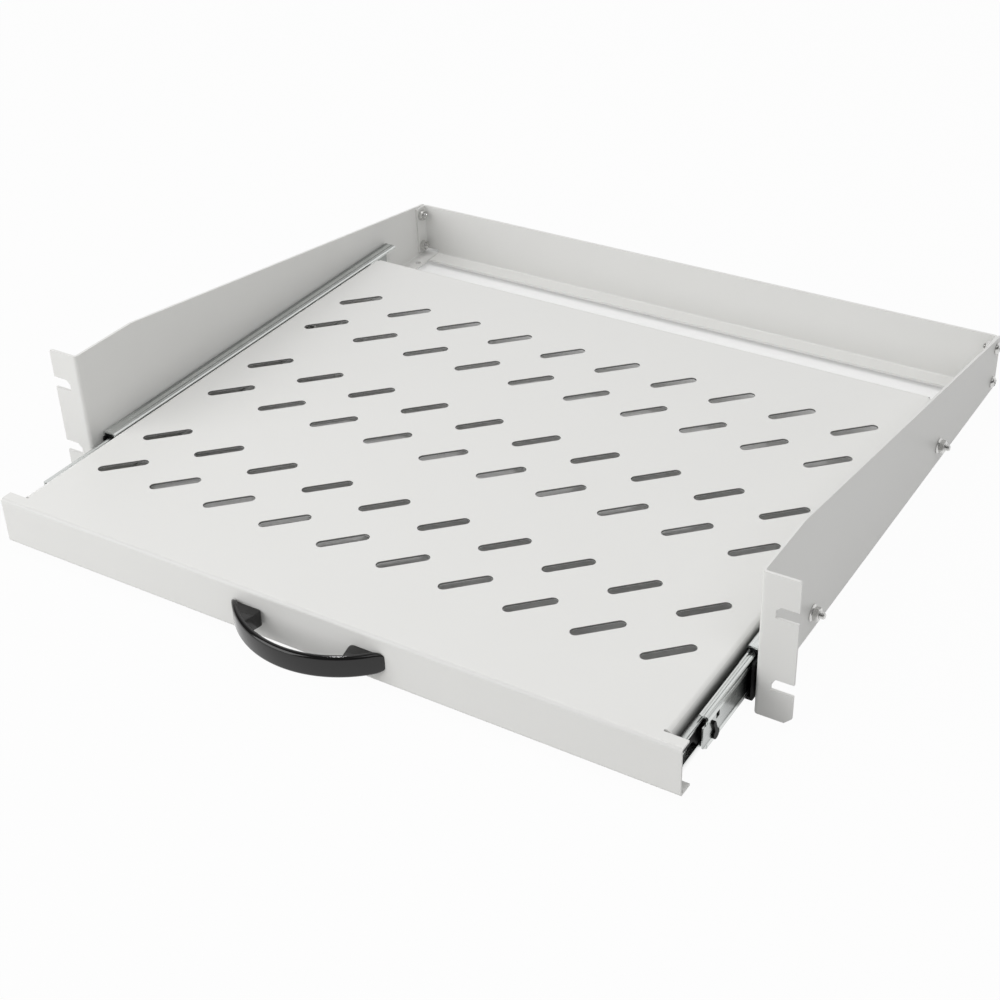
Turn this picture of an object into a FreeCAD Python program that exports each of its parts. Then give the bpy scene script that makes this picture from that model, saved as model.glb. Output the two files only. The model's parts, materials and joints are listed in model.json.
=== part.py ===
import FreeCAD, Part
import math
import os
import re
import Sketcher

# A 2U sliding rack shelf. The bench frame of every sub-part has +X to the right, +Y into the rack,
# +Z up, Y = 0 on the rear face of the ears and Z = 0 at the lower edge of the ears. Each node is then
# lowered by half the ear height, so that the origin lies midway between the four rack slots.
# The shelf is drawn a little way out, as in the photograph.

SIZES = {
    # rack frame
    "ear_width": 19.3,
    "ear_height": 88.1,
    "ear_corner": 1.5,
    "ear_cut": 4.0,
    "slot_rise": 44.45,
    "slot_inset": 8.75,
    "slot_width": 7.0,
    "slot_cut": 2.6,
    "body_width": 444.0,
    "frame_sheet": 1.5,
    "frame_bend": 1.0,
    "frame_depth": 365.0,
    "kink_depth": 47.5,
    "rear_height": 41.5,
    "panel_lift": 3.0,
    "foot_flange": 13.0,
    "foot_start": 10.0,
    "foot_hole": 4.5,
    "foot_hole_edge": 9.0,
    "foot_hole_back": 23.0,
    "rear_foot": 14.5,
    "end_flange": 11.5,
    "sheet_gap": 0.4,
    # telescopic slides
    "slide_thick": 11.7,
    "rail_sheet": 1.2,
    "rail_bend": 0.5,
    "rail_level": 18.2,
    "outer_height": 27.4,
    "outer_flange": 9.9,
    "outer_lip": 1.9,
    "outer_front": 9.5,
    "outer_length": 302.0,
    "outer_ball": 2.8,
    "outer_race": 7.0,
    "outer_groove": 0.37,
    "middle_stand": 3.7,
    "middle_flange": 5.0,
    "middle_front": -51.0,
    "middle_length": 278.0,
    "tongue_length": 4.5,
    "tongue_half": 6.4,
    "inner_ball": 2.0,
    "inner_race": 7.9,
    "inner_groove": 0.23,
    "inner_flange": 4.6,
    "inner_front": -66.0,
    "inner_length": 270.0,
    "ball_clear": 0.1,
    "cage_sheet": 0.6,
    "cage_clear": 0.1,
    "outer_cage_width": 5.0,
    "outer_cage_start": 97.0,
    "outer_cage_length": 56.0,
    "inner_cage_width": 3.8,
    "inner_cage_start": 0.5,
    "inner_cage_length": 60.0,
    "ball_pitch": 20.0,
    "buffer_length": 8.0,
    "buffer_nose": 9.5,
    "buffer_ledge": 4.5,
    "rear_buffer": 4.0,
    "rear_buffer_back": 26.0,
    "buffer_clear": 0.4,
    "buffer_plate": 1.4,
    "stop_sheet": 0.8,
    "stop_size": 6.0,
    "stop_arm": 2.4,
    "stop_back": 13.1,
    "stop_low": 5.8,
    "punch_size": 3.6,
    "punch_back": 14.3,
    "punch_low": 2.0,
    "punch_high": 5.8,
    "web_recess": 0.4,
    "web_shoulder": 4.2,
    "catch_length": 22.0,
    "catch_clear": 0.6,
    # shelf tray
    "tray_sheet": 1.2,
    "tray_bend": 2.4,
    "tray_level": 33.3,
    "tray_front": -78.5,
    "tray_rear": 286.5,
    "tray_flange": 27.0,
    "tray_back_flange": 15.0,
    "front_gap": 3.5,
    "front_strip": 8.0,
    "front_drop": 29.8,
    "front_bend": 1.0,
    "front_lip": 10.0,
    "corner_slit": 1.6,
    "vent_length": 30.0,
    "vent_width": 6.2,
    "vent_angle": 45.0,
    "vent_pitch": 40.0,
    "vent_columns": 10,
    "vent_start": 62.0,
    "vent_pair": 40.0,
    "vent_repeat": 101.0,
    "vent_repeats": 3,
    # handle
    "handle_length": 100.0,
    "handle_bow": 24.0,
    "handle_band": 3.2,
    "handle_height": 13.5,
    "handle_level": 18.3,
    "handle_round": 0.9,
    "foot_height": 9.5,
    "foot_inner": 28.5,
    "foot_slant": 3.0,
    "handle_hole_span": 78.0,
    "handle_screw": 4.0,
    "handle_screw_grip": 6.0,
    # screws and nuts
    "screw_size": 4.0,
    "screw_clear": 0.15,
    "screw_head": 7.6,
    "screw_head_rise": 2.6,
    "flat_head_rise": 0.8,
    "nut_flats": 7.0,
    "nut_height": 3.2,
    "nut_flange": 9.6,
    "nut_flange_rise": 1.2,
    "screw_end": 3.0,
    "corner_end": 2.2,
    "rail_hole_front": 67.0,
    "rail_hole_pitch": 190.0,
    "corner_hole_back": 7.0,
    "corner_hole_low": 11.5,
    "corner_hole_rise": 24.5,
    "tray_hole_front": -30.0,
    "tray_hole_pitch": 115.0,
    "tray_holes": 3,
}

# Places that several pieces share, worked out from the sheet.
EAR_EDGE = "(body_width / 2 + ear_width)"
PANEL_FACE = "(body_width / 2 - frame_sheet)"
TRAY_HALF = f"({PANEL_FACE} - slide_thick)"
OUTER_INSIDE = "(outer_height / 2 - rail_sheet)"
OUTER_GAP = "(outer_ball + 2 * ball_clear - 2 * outer_groove)"
OUTER_BALL_RISE = f"({OUTER_INSIDE} - {OUTER_GAP} / 2)"
MIDDLE_HALF = f"({OUTER_INSIDE} - {OUTER_GAP})"
MIDDLE_INSIDE = f"({MIDDLE_HALF} - rail_sheet)"
INNER_GAP = "(inner_ball + 2 * ball_clear - 2 * inner_groove)"
INNER_BALL_RISE = f"({MIDDLE_INSIDE} - {INNER_GAP} / 2)"
INNER_HALF = f"({MIDDLE_INSIDE} - {INNER_GAP})"
MIDDLE_FACE = f"({PANEL_FACE} - middle_stand)"
RECESS_HALF = f"({MIDDLE_HALF} - web_shoulder)"
HOLE_SIZE = "(screw_size + 2 * screw_clear)"
PANEL_INNER_LOW = "(panel_lift + frame_sheet)"

doc = FreeCAD.newDocument("sliding_rack_shelf")
sheet = doc.addObject("Spreadsheet::Sheet", "sheet")
for row, (alias, size) in enumerate(SIZES.items(), start=1):
    sheet.set(f"A{row}", alias)
    sheet.set(f"B{row}", str(size))
    sheet.setAlias(f"B{row}", alias)
doc.recompute()

nodes = []
SAME_PLACE = 1e-4


def cells(text):
    """Write an expression in the words of the sheet as the document wants it."""
    return re.sub(r"[a-z]\w*", lambda word: "sheet." + word[0] if word[0] in SIZES else word[0], text)


def number(text):
    """The present value of an expression in the words of the sheet."""
    return float(sheet.evalExpression(cells(text)))


def bind(thing, **sizes):
    """Tie properties of an object to expressions; an underscore in a name stands for a dot."""
    for name, text in sizes.items():
        thing.setExpression(name.replace("_", "."), cells(text))


def node(thing, label):
    """Make an object one of the part's nodes, in the frame of the part."""
    thing.Label = label
    bind(thing, Placement_Base_z="-ear_height / 2")
    nodes.append(thing)
    return thing


def plane_of(body, role):
    return next(feature for feature in body.Origin.OriginFeatures if feature.Role == role)


def new_sketch(body, plane, offset="0"):
    """A sketch on one of the body's own origin planes, moved along the plane's normal."""
    sketch = body.newObject("Sketcher::SketchObject", "profile")
    sketch.AttachmentSupport = [(plane_of(body, plane + "_Plane"), "")]
    sketch.MapMode = "FlatFace"
    bind(sketch, AttachmentOffset_Base_z=offset)
    return sketch


def fix_point(sketch, shape, end, place):
    """Tie one point of a sketch to its two expressions."""
    for direction, axis, text in (("DistanceX", -2, place[0]), ("DistanceY", -1, place[1])):
        if text == "0":
            sketch.addConstraint(Sketcher.Constraint("PointOnObject", shape, end, axis))
        else:
            limit = Sketcher.Constraint(direction, -1, 1, shape, end, number(text))
            sketch.setExpression(f"Constraints[{sketch.addConstraint(limit)}]", cells(text))


def fix_radius(sketch, shape, text):
    limit = Sketcher.Constraint("Radius", shape, number(text))
    sketch.setExpression(f"Constraints[{sketch.addConstraint(limit)}]", cells(text))


def arc_between(start, end, radius):
    """An arc from start to end that bulges to the right of the way from start to end."""
    middle = (start + end) * 0.5
    half = (end - start) * 0.5
    side = FreeCAD.Vector(-half.y, half.x, 0).normalize()
    centre = middle + side * math.sqrt(radius ** 2 - half.Length ** 2)
    first = math.atan2(start.y - centre.y, start.x - centre.x)
    last = math.atan2(end.y - centre.y, end.x - centre.x)
    return Part.ArcOfCircle(Part.Circle(centre, FreeCAD.Vector(0, 0, 1), radius), first, last)


def add_outline(sketch, points, arcs=()):
    """A closed outline; arcs gives the radius of each side that is an arc, by the index of its first point.

    An arc bulges outwards on an outline drawn anticlockwise; a negative radius makes it hollow."""
    arcs = dict(arcs)
    first = sketch.GeometryCount
    count = len(points)
    places = [FreeCAD.Vector(number(x), number(y), 0) for x, y in points]
    ends = []
    for index in range(count):
        start = places[index]
        end = places[(index + 1) % count]
        if index not in arcs:
            sketch.addGeometry(Part.LineSegment(start, end))
            ends.append((1, 2))
        elif arcs[index][0] != "-":
            sketch.addGeometry(arc_between(start, end, number(arcs[index])))
            ends.append((1, 2))
        else:
            sketch.addGeometry(arc_between(end, start, number(arcs[index][1:])))
            ends.append((2, 1))
    for index in range(count):
        following = (index + 1) % count
        end = (first + index, ends[index][1])
        start = (first + following, ends[following][0])
        sketch.addConstraint(Sketcher.Constraint("Coincident", *end, *start))
    for index, place in enumerate(points):
        fix_point(sketch, first + index, ends[index][0], place)
    for index, radius in arcs.items():
        fix_radius(sketch, first + index, radius.lstrip("-"))


def moved(place, *steps):
    """A place shifted by steps along the sketch's axes, as expressions."""
    x, y = place
    for (across, up), amount in steps:
        x = f"{x} {'+' if across > 0 else '-'} {amount}" if across else x
        y = f"{y} {'+' if up > 0 else '-'} {amount}" if up else y
    return x, y


def folded(path, thickness, bend):
    """Points and arcs of a folded sheet's section, with right-angled bends of one inner radius.

    The path is the right-hand face of the sheet, and the sheet lies to the left of it."""
    places = [FreeCAD.Vector(number(x), number(y), 0) for x, y in path]
    runs = [(end - start).normalize() for start, end in zip(places, places[1:])]
    ways = [(round(run.x), round(run.y)) for run in runs]
    lefts = [(-up, across) for across, up in ways]
    near = [(path[0], None)]
    far = [(moved(path[0], (lefts[0], thickness)), None)]
    for index in range(1, len(path) - 1):
        before = ways[index - 1]
        after = ways[index]
        back = (-before[0], -before[1])
        turns_left = before[0] * after[1] - before[1] * after[0] > 0
        tight = f"({bend})"
        wide = f"({bend} + {thickness})"
        near_radius = wide if turns_left else tight
        far_radius = tight if turns_left else wide
        opposite = moved(path[index], (lefts[index - 1], thickness), (lefts[index], thickness))
        near_arc = near_radius if turns_left else "-" + near_radius
        far_arc = "-" + far_radius if turns_left else far_radius
        near.append((moved(path[index], (back, near_radius)), near_arc))
        near.append((moved(path[index], (after, near_radius)), None))
        far.append((moved(opposite, (back, far_radius)), None))
        far.append((moved(opposite, (after, far_radius)), far_arc))
    near.append((path[-1], None))
    far.append((moved(path[-1], (lefts[-1], thickness)), None))
    corners = near + far[::-1]
    arcs = {index: radius for index, (place, radius) in enumerate(corners) if radius}
    return [place for place, radius in corners], arcs


def add_circle(sketch, x, y, radius):
    centre = FreeCAD.Vector(number(x), number(y), 0)
    circle = sketch.addGeometry(Part.Circle(centre, FreeCAD.Vector(0, 0, 1), number(radius)))
    fix_point(sketch, circle, 3, (x, y))
    fix_radius(sketch, circle, radius)


def add_slot(sketch, start, end, radius):
    """A slot with round ends about two centres."""
    places = [FreeCAD.Vector(number(x), number(y), 0) for x, y in (start, end)]
    along = places[1] - places[0]
    turn = math.atan2(along.y, along.x)
    reach = number(radius)
    side = FreeCAD.Vector(-math.sin(turn), math.cos(turn), 0) * reach
    upright = FreeCAD.Vector(0, 0, 1)
    quarter = math.pi / 2
    near_end = sketch.addGeometry(
        Part.ArcOfCircle(Part.Circle(places[0], upright, reach), turn + quarter, turn + 3 * quarter)
    )
    far_end = sketch.addGeometry(
        Part.ArcOfCircle(Part.Circle(places[1], upright, reach), turn - quarter, turn + quarter)
    )
    lower = sketch.addGeometry(Part.LineSegment(places[0] - side, places[1] - side))
    upper = sketch.addGeometry(Part.LineSegment(places[1] + side, places[0] + side))
    for shape, end_of_shape, other, end_of_other in (
        (near_end, 2, lower, 1),
        (lower, 2, far_end, 1),
        (far_end, 2, upper, 1),
        (upper, 2, near_end, 1),
    ):
        sketch.addConstraint(Sketcher.Constraint("Tangent", shape, end_of_shape, other, end_of_other))
    fix_point(sketch, near_end, 3, start)
    fix_point(sketch, far_end, 3, end)
    fix_radius(sketch, near_end, radius)


def pad(body, sketch, length, backwards=False):
    feature = body.newObject("PartDesign::Pad", "pad")
    feature.Profile = sketch
    feature.Reversed = backwards
    bind(feature, Length=length)
    doc.recompute()
    return feature


def slab(body, plane, offset, thickness, points, arcs=(), backwards=False):
    """A flat piece of sheet: an outline on a plane, given a thickness along the plane's normal."""
    sketch = new_sketch(body, plane, offset)
    add_outline(sketch, points, arcs)
    return pad(body, sketch, thickness, backwards)


def cut(body, sketch, length, backwards=False):
    """Cut a sketch into the body, and make sure that it takes something away."""
    before = body.Shape.Volume
    feature = body.newObject("PartDesign::Pocket", "cut")
    feature.Profile = sketch
    feature.Reversed = backwards
    bind(feature, Length=length)
    doc.recompute()
    if body.Shape.Volume >= before:
        raise ValueError(f"{body.Label}: a cut takes nothing away")
    return feature


def edges_along(feature, line, curved):
    """Names of the edges, straight or curved, whose ends keep the coordinates given in line."""
    wanted = {axis: number(text) for axis, text in line.items()}
    names = []
    for index, edge in enumerate(feature.Shape.Edges, start=1):
        ends = [vertex.Point for vertex in edge.Vertexes]
        misses = [abs(getattr(end, axis) - place) for end in ends for axis, place in wanted.items()]
        of_kind = curved == (edge.Curve.TypeId != "Part::GeomLine")
        if len(ends) == 2 and of_kind and max(misses) < SAME_PLACE:
            names.append(f"Edge{index}")
    if not names:
        raise ValueError(f"no edge along {line}")
    return names


def round_edges(body, radius, *lines, curved=False):
    base = body.Tip
    feature = body.newObject("PartDesign::Fillet", "bend")
    feature.Base = (base, [name for line in lines for name in edges_along(base, line, curved)])
    bind(feature, Radius=radius)
    doc.recompute()


def chamfer_edges(body, size, *lines):
    base = body.Tip
    feature = body.newObject("PartDesign::Chamfer", "corner")
    feature.Base = (base, [name for line in lines for name in edges_along(base, line, False)])
    bind(feature, Size=size)
    doc.recompute()


def new_body(label):
    return node(doc.addObject("PartDesign::Body", label), label)


def mirrored(source, label):
    """The left-hand twin of a right-hand piece."""
    twin = doc.addObject("Part::Mirroring", label)
    twin.Source = source
    twin.Normal = (1, 0, 0)
    twin.Label = label
    nodes.append(twin)
    return twin


def along_x(thing, x, y, z, outwards=1):
    """Turn a primitive's axis to X, or to -X, and tie its foot to a place."""
    turn = FreeCAD.Rotation(FreeCAD.Vector(0, 1, 0), 90 * outwards)
    thing.Placement = FreeCAD.Placement(FreeCAD.Vector(0, 0, 0), turn)
    bind(thing, Placement_Base_x=x, Placement_Base_y=y, Placement_Base_z=z)
    return thing


def along_y(thing, x, y, z):
    """Turn a primitive's axis to -Y and tie its foot to a place."""
    turn = FreeCAD.Rotation(FreeCAD.Vector(1, 0, 0), 90)
    thing.Placement = FreeCAD.Placement(FreeCAD.Vector(0, 0, 0), turn)
    bind(thing, Placement_Base_x=x, Placement_Base_y=y, Placement_Base_z=z)
    return thing


def rod(size, length):
    cylinder = doc.addObject("Part::Cylinder", "rod")
    bind(cylinder, Radius=f"{size} / 2", Height=length)
    return cylinder


def hexagon(flats, height):
    prism = doc.addObject("Part::Prism", "hexagon")
    prism.Polygon = 6
    bind(prism, Circumradius=f"{flats} / sqrt(3)", Height=height)
    return prism


def fuse(pieces):
    union = doc.addObject("Part::MultiFuse", "fused")
    union.Shapes = pieces
    union.Refine = True
    return union


def bored(solid, tool):
    hole = doc.addObject("Part::Cut", "bored")
    hole.Base = solid
    hole.Tool = tool
    return hole


def group(solids, label):
    """Equal pieces that share one node, as separate solids."""
    compound = doc.addObject("Part::Compound", label)
    compound.Links = solids
    return node(compound, label)


def side_text(side, text):
    """The same distance to the right or to the left of the middle."""
    return text if side > 0 else f"-({text})"


def side_panel():
    """Right-hand side: sloped panel, rack ear with two open slots, and foot flange under the slide."""
    body = new_body("right_side_panel")
    ear_fold = folded([
        (EAR_EDGE, "0"),
        ("body_width / 2", "0"),
        ("body_width / 2", "foot_start"),
    ], "frame_sheet", "frame_bend")
    slab(body, "XY", "0", "ear_height", *ear_fold)
    foot_fold = folded([
        ("body_width / 2 - foot_flange", "panel_lift"),
        ("body_width / 2", "panel_lift"),
        ("body_width / 2", "rear_height"),
    ], "frame_sheet", "frame_bend")
    slab(body, "XZ", "-frame_depth", "frame_depth - foot_start", *foot_fold)
    slab(body, "YZ", PANEL_FACE, "frame_sheet", [
        ("foot_start", "rear_height"),
        ("frame_depth", "rear_height"),
        ("kink_depth", "ear_height"),
        ("foot_start", "ear_height"),
    ])
    round_edges(body, "ear_corner", {"x": EAR_EDGE, "z": "ear_height"})
    chamfer_edges(body, "ear_cut", {"x": EAR_EDGE, "z": "0"})
    slots = new_sketch(body, "XZ")
    slot_end = f"{EAR_EDGE} - slot_inset - slot_width / 2"
    for level in ("(ear_height - slot_rise) / 2", "(ear_height + slot_rise) / 2"):
        add_outline(slots, [
            (slot_end, f"{level} - slot_width / 2"),
            (f"{EAR_EDGE} + slot_width", f"{level} - slot_width / 2"),
            (f"{EAR_EDGE} + slot_width", f"{level} + slot_width / 2"),
            (f"{slot_end} + slot_cut", f"{level} + slot_width / 2"),
            (slot_end, f"{level} + slot_width / 2 - slot_cut"),
        ])
    cut(body, slots, "frame_sheet", backwards=True)
    holes = new_sketch(body, "YZ", PANEL_FACE)
    for y in ("rail_hole_front", "rail_hole_front + rail_hole_pitch"):
        add_circle(holes, y, "rail_level", f"{HOLE_SIZE} / 2")
    for z in ("corner_hole_low", "corner_hole_low + corner_hole_rise"):
        add_circle(holes, "frame_depth - corner_hole_back", z, f"{HOLE_SIZE} / 2")
    cut(body, holes, "frame_sheet", backwards=True)
    foot = new_sketch(body, "XY", "panel_lift")
    add_circle(foot, "body_width / 2 - foot_hole_edge", "frame_depth - foot_hole_back", "foot_hole / 2")
    cut(body, foot, "frame_sheet", backwards=True)
    mirrored(body, "left_side_panel")


def rear_panel():
    """Back: a web between the sides, with an end flange inside each side and a foot flange."""
    body = new_body("rear_panel")
    low = f"({PANEL_INNER_LOW} + frame_bend + frame_sheet)"
    foot_half = "(body_width / 2 - foot_flange - sheet_gap)"
    web_fold = folded([
        (PANEL_FACE, "frame_depth - end_flange"),
        (PANEL_FACE, "frame_depth"),
        (f"-{PANEL_FACE}", "frame_depth"),
        (f"-{PANEL_FACE}", "frame_depth - end_flange"),
    ], "frame_sheet", "frame_bend")
    slab(body, "XY", low, f"rear_height - {low}", *web_fold)
    foot_fold = folded([
        ("frame_depth - rear_foot", "panel_lift"),
        ("frame_depth", "panel_lift"),
        ("frame_depth", low),
    ], "frame_sheet", "frame_bend")
    slab(body, "YZ", f"-{foot_half}", f"2 * {foot_half}", *foot_fold)
    for offset in (f"{PANEL_FACE} - frame_sheet", f"-{PANEL_FACE}"):
        holes = new_sketch(body, "YZ", offset)
        for z in ("corner_hole_low", "corner_hole_low + corner_hole_rise"):
            add_circle(holes, "frame_depth - corner_hole_back", z, f"{HOLE_SIZE} / 2")
        cut(body, holes, "frame_sheet", backwards=True)


def ball_grooves(body, race, rise, ball, front, length):
    """Round grooves for a row of balls, along the upper and the lower flange of a rail."""
    grooves = new_sketch(body, "XZ", f"-({front} + {length})")
    for sign in ("+", "-"):
        add_circle(grooves, f"{PANEL_FACE} - {race}", f"rail_level {sign} {rise}", f"{ball} / 2 + ball_clear")
    cut(body, grooves, length, backwards=True)


def rail(label, front, length, path):
    """A rolled rail: a folded section across the slide, drawn out along Y."""
    body = new_body(label)
    slab(body, "XZ", f"-({front} + {length})", length, *folded(path, "rail_sheet", "rail_bend"))
    return body


def outer_rail():
    """Fixed member: a channel on the side panel, with lips that keep the balls in."""
    edge = f"({PANEL_FACE} - outer_flange)"
    low = "(rail_level - outer_height / 2)"
    high = "(rail_level + outer_height / 2)"
    body = rail("right_outer_rail", "outer_front", "outer_length", [
        (edge, f"{low} + outer_lip"),
        (edge, low),
        (PANEL_FACE, low),
        (PANEL_FACE, high),
        (edge, high),
        (edge, f"{high} - outer_lip"),
    ])
    ball_grooves(body, "outer_race", OUTER_BALL_RISE, "outer_ball", "outer_front", "outer_length")
    holes = new_sketch(body, "YZ", f"{PANEL_FACE} - rail_sheet")
    for y in ("rail_hole_front", "rail_hole_front + rail_hole_pitch"):
        add_circle(holes, y, "rail_level", f"{HOLE_SIZE} / 2")
    cut(body, holes, "rail_sheet", backwards=True)
    mirrored(body, "left_outer_rail")


def middle_rail():
    """Middle member: a channel between two rows of balls above and two below, with a tongue in front."""
    lips = f"({MIDDLE_FACE} - middle_flange)"
    body = rail("right_middle_rail", "middle_front", "middle_length", [
        (lips, f"rail_level - {MIDDLE_HALF}"),
        (MIDDLE_FACE, f"rail_level - {MIDDLE_HALF}"),
        (MIDDLE_FACE, f"rail_level + {MIDDLE_HALF}"),
        (lips, f"rail_level + {MIDDLE_HALF}"),
    ])
    ball_grooves(body, "outer_race", OUTER_BALL_RISE, "outer_ball", "middle_front", "middle_length")
    ball_grooves(body, "inner_race", INNER_BALL_RISE, "inner_ball", "middle_front", "middle_length")
    recess = new_sketch(body, "XZ", "-(middle_front + middle_length)")
    add_outline(recess, [
        (f"{MIDDLE_FACE} - web_recess", f"rail_level - {RECESS_HALF}"),
        (f"{MIDDLE_FACE} + web_recess", f"rail_level - {RECESS_HALF} - 2 * web_recess"),
        (f"{MIDDLE_FACE} + web_recess", f"rail_level + {RECESS_HALF} + 2 * web_recess"),
        (f"{MIDDLE_FACE} - web_recess", f"rail_level + {RECESS_HALF}"),
    ])
    cut(body, recess, "middle_length", backwards=True)
    punch = new_sketch(body, "YZ", f"{MIDDLE_FACE} - rail_sheet")
    add_outline(punch, [
        ("middle_front + punch_back", "rail_level + punch_low"),
        ("middle_front + punch_back + punch_size", "rail_level + punch_low"),
        ("middle_front + punch_back + punch_size", "rail_level + punch_high"),
        ("middle_front + punch_back", "rail_level + punch_high"),
    ])
    cut(body, punch, "rail_sheet", backwards=True)
    ends = new_sketch(body, "YZ", lips)
    for sign in ("+", "-"):
        add_outline(ends, [
            ("middle_front - tongue_length", f"rail_level {sign} tongue_half"),
            ("middle_front + tongue_length", f"rail_level {sign} tongue_half"),
            ("middle_front + tongue_length", f"rail_level {sign} 2 * {MIDDLE_HALF}"),
            ("middle_front - tongue_length", f"rail_level {sign} 2 * {MIDDLE_HALF}"),
        ])
    cut(body, ends, "middle_flange", backwards=True)
    mirrored(body, "left_middle_rail")


def inner_rail():
    """Shelf member: a channel on the tray's side flange, open towards the middle member."""
    lips = f"({TRAY_HALF} + inner_flange)"
    body = rail("right_inner_rail", "inner_front", "inner_length", [
        (lips, f"rail_level + {INNER_HALF}"),
        (TRAY_HALF, f"rail_level + {INNER_HALF}"),
        (TRAY_HALF, f"rail_level - {INNER_HALF}"),
        (lips, f"rail_level - {INNER_HALF}"),
    ])
    ball_grooves(body, "inner_race", INNER_BALL_RISE, "inner_ball", "inner_front", "inner_length")
    holes = new_sketch(body, "YZ", TRAY_HALF)
    for index in range(int(number("tray_holes"))):
        add_circle(holes, f"tray_hole_front + {index} * tray_hole_pitch", "rail_level", f"{HOLE_SIZE} / 2")
    cut(body, holes, "rail_sheet", backwards=True)
    mirrored(body, "left_inner_rail")


def rail_plastics():
    """Buffers of the outer rail, stop of the middle rail and catch of the inner rail."""
    web = f"({PANEL_FACE} - rail_sheet)"
    edge = f"({PANEL_FACE} - outer_flange + rail_sheet + buffer_clear)"
    plate = f"({web} - buffer_plate)"
    low = f"(rail_level - {OUTER_INSIDE})"
    high = f"(rail_level + {OUTER_INSIDE})"
    near_low = f"(rail_level - {MIDDLE_HALF} - buffer_clear)"
    near_high = f"(rail_level + {MIDDLE_HALF} + buffer_clear)"
    front = new_body("right_front_buffer")
    slab(front, "XZ", "-(outer_front + buffer_length)", "buffer_length", [
        (f"{edge} + rail_bend", low),
        (f"{web} - rail_bend", low),
        (web, f"{low} + rail_bend"),
        (web, f"{high} - rail_bend"),
        (f"{web} - rail_bend", high),
        (f"{edge} + rail_bend", high),
        (edge, f"{high} - rail_bend"),
        (edge, near_high),
        (plate, near_high),
        (plate, near_low),
        (edge, near_low),
        (edge, f"{low} + rail_bend"),
    ])
    slab(front, "XZ", "-outer_front", "buffer_nose", [
        (f"{web} - buffer_ledge", low),
        (f"{web} - rail_bend", low),
        (web, f"{low} + rail_bend"),
        (web, near_high),
        (plate, near_high),
        (plate, near_low),
        (f"{web} - buffer_ledge", near_low),
    ])
    mirrored(front, "left_front_buffer")

    rear = new_body("right_rear_buffer")
    slab(rear, "XZ", "-(outer_front + outer_length - rear_buffer_back)", "rear_buffer", [
        (f"{edge} + rail_bend", low),
        (f"{web} - rail_bend", low),
        (web, f"{low} + rail_bend"),
        (web, f"{high} - rail_bend"),
        (f"{web} - rail_bend", high),
        (f"{edge} + rail_bend", high),
        (edge, f"{high} - rail_bend"),
        (edge, f"{low} + rail_bend"),
    ])
    mirrored(rear, "left_rear_buffer")

    stop = new_body("right_middle_stop")
    disc = new_sketch(stop, "YZ", MIDDLE_FACE)
    add_circle(disc, "middle_front + stop_back", "rail_level - stop_low", "stop_size / 2")
    pad(stop, disc, "stop_sheet")
    arm = new_sketch(stop, "YZ", f"{MIDDLE_FACE} - web_recess")
    add_slot(arm, ("middle_front + stop_back", f"rail_level - {RECESS_HALF} + stop_arm"),
             ("middle_front + stop_back - stop_arm", "rail_level + stop_arm"), "stop_arm / 2")
    pad(stop, arm, "stop_sheet + web_recess")
    mirrored(stop, "left_middle_stop")

    catch = new_body("right_inner_catch")
    floor = f"({TRAY_HALF} + rail_sheet)"
    low = f"(rail_level - {INNER_HALF} + rail_sheet)"
    high = f"(rail_level + {INNER_HALF} - rail_sheet)"
    slab(catch, "XY", low, f"{high} - {low}", [
        (floor, "inner_front + catch_clear"),
        (f"{TRAY_HALF} + inner_flange - catch_clear", "inner_front + catch_clear"),
        (f"{TRAY_HALF} + inner_flange - catch_clear", "inner_front + catch_length / 2"),
        (f"{floor} + catch_clear", "inner_front + catch_length"),
        (floor, "inner_front + catch_length"),
    ])
    chamfer_edges(catch, "rail_bend", {"x": floor, "z": low}, {"x": floor, "z": high})
    mirrored(catch, "left_inner_catch")


def cage(label, start, length, width, race, rise, ball):
    """Two flat strips, above and below, with a row of round pockets for the balls."""
    strips = []
    balls = int((number(length) - number(ball)) // number("ball_pitch")) + 1
    row = f"({start} + ({length} - {balls - 1} * ball_pitch) / 2)"
    for sign in ("+", "-"):
        level = f"rail_level {sign} {rise}"
        strip = doc.addObject("Part::Box", "strip")
        bind(strip, Length=width, Width=length, Height="cage_sheet",
             Placement_Base_x=f"{PANEL_FACE} - {race} - {width} / 2", Placement_Base_y=start,
             Placement_Base_z=f"{level} - cage_sheet / 2")
        drills = []
        for index in range(balls):
            drill = rod(f"({ball} + 2 * cage_clear)", "cage_sheet * 2")
            bind(drill, Placement_Base_x=f"{PANEL_FACE} - {race}",
                 Placement_Base_y=f"{row} + {index} * ball_pitch", Placement_Base_z=f"{level} - cage_sheet")
            drills.append(drill)
        strips.append(bored(strip, fuse(drills)))
    return group(strips, label), balls, row


def ball_row(balls, row, race, rise, ball):
    """Balls in the pockets of the left and right cages."""
    spheres = []
    for side in (1, -1):
        for sign in ("+", "-"):
            for index in range(balls):
                sphere = doc.addObject("Part::Sphere", "ball")
                bind(sphere, Radius=f"{ball} / 2",
                     Placement_Base_x=side_text(side, f"{PANEL_FACE} - {race}"),
                     Placement_Base_y=f"{row} + {index} * ball_pitch",
                     Placement_Base_z=f"rail_level {sign} {rise}")
                spheres.append(sphere)
    return spheres


def ball_bearings():
    for stage, rise in (("outer", OUTER_BALL_RISE), ("inner", INNER_BALL_RISE)):
        strips, balls, row = cage(f"right_{stage}_cage", f"{stage}_cage_start", f"{stage}_cage_length",
                                  f"{stage}_cage_width", f"{stage}_race", rise, f"{stage}_ball")
        mirrored(strips, f"left_{stage}_cage")
        group(ball_row(balls, row, f"{stage}_race", rise, f"{stage}_ball"), f"{stage}_balls")


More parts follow.
